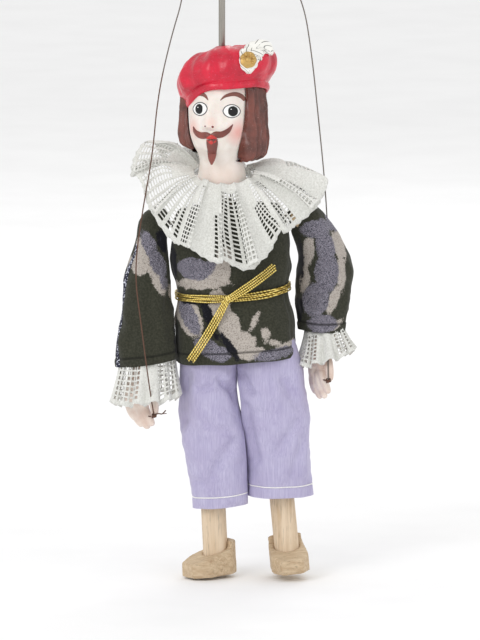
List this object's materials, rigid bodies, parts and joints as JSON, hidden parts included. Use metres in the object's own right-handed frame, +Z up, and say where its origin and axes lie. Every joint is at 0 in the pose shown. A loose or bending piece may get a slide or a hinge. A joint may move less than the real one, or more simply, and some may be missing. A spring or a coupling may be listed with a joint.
{
  "type": "marionette puppet",
  "caption": "Small rod marionette of a cavalier: plaster head with beret, lace ruff, patterned jacket, breeches, wooden legs, and a control with hand strings.",
  "frame": {"origin": "middle of the hang hole through the handle", "axes": "+Z up along the rod, -Y the way the figure's chest faces, +X to its left hand"},
  "size_m": [0.0931, 0.05, 0.3006],
  "materials": {
    "turned_wood": "satin varnish",
    "bar_wood": "satin",
    "rod_steel": "drawn wire",
    "face_plaster": "painted plaster",
    "hair_paint": "painted plaster",
    "hat_paint": "satin paint",
    "plume_paint": "painted plaster",
    "badge_gold": "gold paint",
    "body_wood": "raw",
    "jacket_cloth": "printed cotton",
    "lace": "cotton lace",
    "gold_cord": "metallic braid",
    "breeches_cloth": "plain cotton",
    "thread": "waxed thread",
    "hand_plaster": "painted plaster",
    "leg_wood": "raw dowel",
    "shoe_wood": "raw, sawn"
  },
  "bodies": {
    "control": {"handle": "turned_wood", "control_rod": "rod_steel", "bar_collar": "rod_steel", "head": "face_plaster", "hair": "hair_paint", "beret": "hat_paint", "plume": "plume_paint", "badge": "badge_gold"},
    "swivel": {"hand_bar": "bar_wood", "neck_link": "rod_steel", "link_pin": "rod_steel", "bar_knot_r": "thread", "bar_knot_l": "thread", "hand_string_r": "thread", "hand_string_l": "thread"},
    "torso": {"neck_eye": "rod_steel", "chest_block": "body_wood", "waist_dowel": "body_wood", "hip_block": "body_wood", "hip_pin": "rod_steel", "shoulder_pin_r": "rod_steel", "shoulder_pin_l": "rod_steel", "jacket": "jacket_cloth", "ruff": "lace", "belt": "gold_cord", "belt_knot": "gold_cord", "belt_ends": "gold_cord", "trousers_seat": "breeches_cloth"},
    "upper_arm_r": {"upper_arm_r": "body_wood", "sleeve_r": "jacket_cloth"},
    "forearm_r": {"forearm_r": "body_wood", "elbow_pin_r": "rod_steel", "hand_r": "hand_plaster", "hand_knot_r": "thread", "cuff_r": "lace"},
    "thigh_r": {"thigh_r": "leg_wood", "trouser_leg_r": "breeches_cloth"},
    "shin_r": {"shin_r": "leg_wood", "knee_pin_r": "rod_steel", "shoe_r": "shoe_wood"},
    "upper_arm_l": {"upper_arm_l": "body_wood", "sleeve_l": "jacket_cloth"},
    "forearm_l": {"forearm_l": "body_wood", "elbow_pin_l": "rod_steel", "hand_l": "hand_plaster", "hand_knot_l": "thread", "cuff_l": "lace"},
    "thigh_l": {"thigh_l": "leg_wood", "trouser_leg_l": "breeches_cloth"},
    "shin_l": {"shin_l": "leg_wood", "knee_pin_l": "rod_steel", "shoe_l": "shoe_wood"}
  },
  "joints": [
    {"name": "neck_turn", "type": "hinge", "parent": "control", "child": "swivel", "pos_m": [0, 0, -0.1434], "axis": [0, 0, 1], "range_deg": [-40, 40]},
    {"name": "neck_nod", "type": "hinge", "parent": "swivel", "child": "torso", "pos_m": [0, 0, -0.148], "axis": [1, 0, 0], "range_deg": [-12, 12], "deforming": ["hand_string_r", "hand_string_l"]},
    {"name": "arm_lift_r", "type": "hinge", "parent": "torso", "child": "upper_arm_r", "pos_m": [-0.02434, 0, -0.15699], "axis": [-0.9984, 0, -0.0558], "range_deg": [0, 45], "deforming": ["sleeve_r", "hand_string_r"]},
    {"name": "elbow_r", "type": "hinge", "parent": "upper_arm_r", "child": "forearm_r", "pos_m": [-0.02908, -0.00106, -0.18761], "axis": [-0.9984, 0, -0.0558], "range_deg": [0, 36], "deforming": ["sleeve_r"]},
    {"name": "arm_lift_l", "type": "hinge", "parent": "torso", "child": "upper_arm_l", "pos_m": [0.02958, 0, -0.15398], "axis": [-0.9984, 0, -0.0558], "range_deg": [0, 45], "deforming": ["sleeve_l", "hand_string_l"]},
    {"name": "elbow_l", "type": "hinge", "parent": "upper_arm_l", "child": "forearm_l", "pos_m": [0.03829, 0.01415, -0.18015], "axis": [-0.9984, 0, -0.0558], "range_deg": [0, 36], "deforming": ["sleeve_l"]},
    {"name": "hip_r", "type": "hinge", "parent": "torso", "child": "thigh_r", "pos_m": [-0.0063, 0, -0.20556], "axis": [-0.9984, 0, -0.0558], "range_deg": [-25, 45], "deforming": ["trouser_leg_r", "trousers_seat"]},
    {"name": "knee_r", "type": "hinge", "parent": "thigh_r", "child": "shin_r", "pos_m": [-0.00435, 0.00021, -0.24552], "axis": [0.9984, 0, 0.0558], "range_deg": [0, 70], "deforming": ["trouser_leg_r"]},
    {"name": "hip_l", "type": "hinge", "parent": "torso", "child": "thigh_l", "pos_m": [0.01706, 0, -0.20426], "axis": [-0.9984, 0, -0.0558], "range_deg": [-25, 45], "deforming": ["trouser_leg_l", "trousers_seat"]},
    {"name": "knee_l", "type": "hinge", "parent": "thigh_l", "child": "shin_l", "pos_m": [0.02097, 0.00035, -0.24407], "axis": [0.9984, 0, 0.0558], "range_deg": [0, 70], "deforming": ["trouser_leg_l"]}
  ],
  "couplings": [
    {"joint": "elbow_r", "follows": "arm_lift_r", "ratio": 0.8},
    {"joint": "elbow_l", "follows": "arm_lift_l", "ratio": 0.8}
  ]
}
